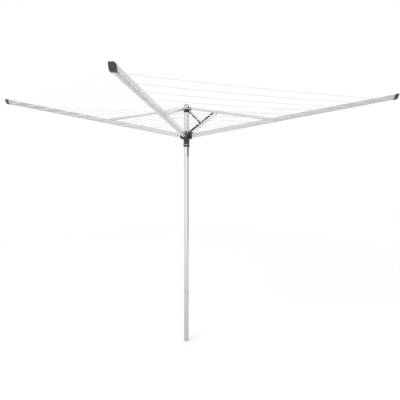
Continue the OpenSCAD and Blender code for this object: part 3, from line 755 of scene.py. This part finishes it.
class CLOTHESLINE_OT_end_caps(Operator):
    """Makes the cap on each arm's end: a hood with a slanting face and a notch under the arm"""
    bl_idname = "clothesline.end_caps"
    bl_label = "End caps"

    def execute(self, context):
        _, _, _, sizes = settings()
        for i in ARMS:
            make_piece(f"cap_of_arm_{i}", [placed(self.hood(sizes), in_arm, i)],
                       finish_of("grey_polypropylene"), f"arm_{i}",
                       replaces=[f"end_cap_{i}"])
        return {"FINISHED"}

    def hood(self, sizes):
        """Rings of a rounded box along the arm: down the cavity, round the rim, along the outside and
        in over the front by a quarter circle of the corner's radius. At height z above the arm's
        centre line every ring lies slant (1/2 - z / height) back, which puts the front's furthest
        point a corner's radius below the top. The notch pushes the rim's lower middle towards the
        front, and fades out to the sides, upwards and along the arm."""
        w, h, corner_r = sizes.cap_width, sizes.cap_height, sizes.cap_corner
        end = along(REACH, h / 2 - corner_r) + sizes.cap_slant * corner_r / h
        start = end - sizes.cap_length
        inner_w, inner_h = ARM_W + 2 * CAP_PLAY, ARM_H + 2 * CAP_PLAY
        # Each ring's place along the arm, width and height: the cavity from its end to its mouth, the
        # rim with its edges eased, and the outside
        stations = [(end - sizes.cap_wall - sizes.cap_slant * (1 - inner_h / h) / 2, inner_w, inner_h),
                    (start + 1 * MM, inner_w, inner_h), (start, inner_w + 0.8 * MM, inner_h + 0.8 * MM),
                    (start, w - 2 * MM, h - 1.6 * MM), (start + 0.4 * MM, w - 0.9 * MM, h - 0.8 * MM),
                    (start + 1.4 * MM, w, h), (start + 0.4 * sizes.cap_length, w, h),
                    (end - corner_r, w, h)]
        for t in np.linspace(0, QUARTER, 7)[1:]:
            inset = 2 * corner_r * (1 - math.cos(t))
            stations.append((end - corner_r * (1 - math.sin(t)), w - inset, h - inset))
        stations.append((end, w - 3.4 * corner_r, h - 3.4 * corner_r))
        rows = []
        for x, width, height in stations:
            y_half, z_half = width / 2, height / 2
            corners = [(-y_half, -z_half), (y_half, -z_half), (y_half, z_half), (-y_half, z_half)]
            bend = min(ARM_CORNER + 1.5 * MM, 0.45 * min(width, height))
            ring = self.denser(rounded(corners, bend, steps=6))
            back = sizes.cap_slant * (0.5 - ring[:, 1] / h)
            low = np.clip((-ring[:, 1] - 0.3 * h) / (0.2 * h), 0, 1)
            middle = np.clip((0.36 * w - np.abs(ring[:, 0])) / (0.14 * w), 0, 1)
            near_rim = np.clip(1 - (x - start) / NOTCH_RUN, 0, 1)
            notch = sizes.cap_notch * low * middle * middle * (3 - 2 * middle) * near_rim
            rows.append(np.column_stack([x - back + notch, ring]))
        return skin(np.array(rows))

    def denser(self, ring):
        """The ring with each of its four straight sides, which follow its corners, cut in eight."""
        n = len(ring)
        parts = np.ones(n, int)
        parts[n // 4 - 1::n // 4] = 8
        index = np.repeat(np.arange(n), parts)
        share = np.concatenate([np.arange(k) / k for k in parts])[:, None]
        return ring[index] * (1 - share) + ring[(index + 1) % n] * share


class CLOTHESLINE_OT_grommets(Operator):
    """Makes the sixteen grommets that carry the line through each arm"""
    bl_idname = "clothesline.grommets"
    bl_label = "Grommets"

    def execute(self, context):
        _, _, line, sizes = settings()
        bore_r, barrel_r = GROMMET_BORE / 2, sizes.grommet_barrel / 2
        flange_r, face = barrel_r + sizes.grommet_flange, sizes.grommet_face
        skim, slope, rim = 0.01 * MM, 0.5 * MM, 0.3 * MM
        section = rounded([(bore_r, -ARM_WALL), (barrel_r, -ARM_WALL), (barrel_r, skim),
                           (flange_r, skim), (flange_r - slope, face), (bore_r, face)], rim)
        ring = lathe(section, 28)
        for i in ARMS:
            rings = []
            for row in range(line.rows):
                x = along(REACH - line.inset - row * line.pitch, -LINE_DROP)
                for side in (-1, 1):
                    points = ring["points"][:, [0, 2, 1]] * [1, side, 1]
                    moved = points + [x, side * ARM_W / 2, -LINE_DROP]
                    rings.append(placed({**ring, "points": moved}, in_arm, i))
            make_piece(f"grommets_of_arm_{i}", rings, finish_of("pale_grey_polyethylene"), f"arm_{i}",
                       replaces=[f"line_grommets_{i}"], smooth_angle=50)
        return {"FINISHED"}


class CLOTHESLINE_OT_runner_rings(Operator):
    """Makes the collar at the lower end of the runner's sleeve and the bright band above it"""
    bl_idname = "clothesline.runner_rings"
    bl_label = "Runner rings"

    def execute(self, context):
        for node, name, wall, rim, finish, slot in (
                ("runner_collar", "sleeve_collar", COLLAR_WALL, COLLAR_RIM, "black_glass_filled_nylon",
                 "black_plastic"),
                ("runner_band", "sleeve_band", BAND_WALL, BAND_RIM, "zinc_plated_steel", "steel")):
            low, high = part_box(node)
            profile = ring_profile(high.x - wall, high.x, low.z, high.z, rim)
            make_piece(name, [outward(lathe(profile, 72))], finish_of(finish), "runner",
                       replaces=[node], smooth_angle=50)
        return {"FINISHED"}


class CLOTHESLINE_OT_mast(Operator):
    """Makes the lower mast tube"""
    bl_idname = "clothesline.mast"
    bl_label = "Mast"

    def execute(self, context):
        _, _, _, sizes = settings()
        low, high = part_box("lower_tube")
        lower = lathe(ring_profile(MAST_R - sizes.tube_wall, MAST_R, low.z, high.z, TUBE_RIM), 96)
        make_piece("ground_tube", [outward(lower)], finish_of("anodised_mast_tube"), "ground_tube",
                   replaces=["lower_tube"])
        return {"FINISHED"}


class CLOTHESLINE_OT_eye(Operator):
    """Makes the hanging eye on the crown: a ring of round section on a moulded foot"""
    bl_idname = "clothesline.eye"
    bl_label = "Hanging eye"

    def execute(self, context):
        _, _, _, sizes = settings()
        low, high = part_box("hanging_eye")
        mean_r = (sizes.eye_diameter - sizes.eye_wire) / 2
        centre_z = high.z - sizes.eye_diameter / 2
        # at t round the ring and s round its section, with R the mean and r the section's radius:
        # ((R + r cos s) sin t, r sin s, centre - (R + r cos s) cos t)
        t = np.linspace(0, 2 * math.pi, 64, endpoint=False)
        section = np.linspace(0, 2 * math.pi, 20, endpoint=False)
        out = mean_r + sizes.eye_wire / 2 * np.cos(section)
        beside = np.tile(sizes.eye_wire / 2 * np.sin(section), (len(t), 1))
        grid = np.stack([np.outer(np.sin(t), out), beside, centre_z - np.outer(np.cos(t), out)], axis=-1)
        crown_top = centre_z - sizes.eye_diameter / 2 - 0.2 * MM
        spigot = [(EYE_SPIGOT * MM, low.z), (EYE_SPIGOT * MM, crown_top)]
        foot = lathe(spigot + [(r * MM, crown_top + z * MM) for r, z in EYE_FOOT], 40, solid=True)
        make_piece("eye_on_crown", [outward(skin(grid, round_rows=True)), outward(foot)],
                   finish_of("grey_polypropylene"), "mast", replaces=["hanging_eye"],
                   smooth_angle=50)
        return {"FINISHED"}


class CLOTHESLINE_PT_panel(Panel):
    """Lists the operators and the settings"""
    bl_label = "Rotary Clothesline"
    bl_idname = "CLOTHESLINE_PT_panel"
    bl_space_type = "VIEW_3D"
    bl_region_type = "UI"
    bl_category = "Clothesline"

    def draw(self, context):
        for operator in OPERATORS:
            self.layout.operator(operator.bl_idname)
        for group in settings():
            box = self.layout.box()
            for key in group.bl_rna.properties.keys():
                if key not in ("rna_type", "name"):
                    box.prop(group, key)


GROUPS = {"clothesline_stage": ClotheslineStage, "clothesline_finish": ClotheslineFinish,
          "clothesline_line": ClotheslineLine, "clothesline_fittings": ClotheslineFittings}
OPERATORS = (CLOTHESLINE_OT_stage, CLOTHESLINE_OT_finishes, CLOTHESLINE_OT_mast, CLOTHESLINE_OT_eye,
             CLOTHESLINE_OT_runner_rings, CLOTHESLINE_OT_end_caps, CLOTHESLINE_OT_grommets,
             CLOTHESLINE_OT_drying_line)
CLASSES = (*GROUPS.values(), *OPERATORS, CLOTHESLINE_PT_panel)


def register():
    for cls in CLASSES:
        bpy.utils.register_class(cls)
    for name, group in GROUPS.items():
        setattr(bpy.types.Scene, name, PointerProperty(type=group))


def unregister():
    for name in GROUPS:
        delattr(bpy.types.Scene, name)
    for cls in reversed(CLASSES):
        bpy.utils.unregister_class(cls)


def main():
    register()
    for operator in OPERATORS:
        group, action = operator.bl_idname.split(".")
        getattr(getattr(bpy.ops, group), action)()


if __name__ == "__main__":
    main()
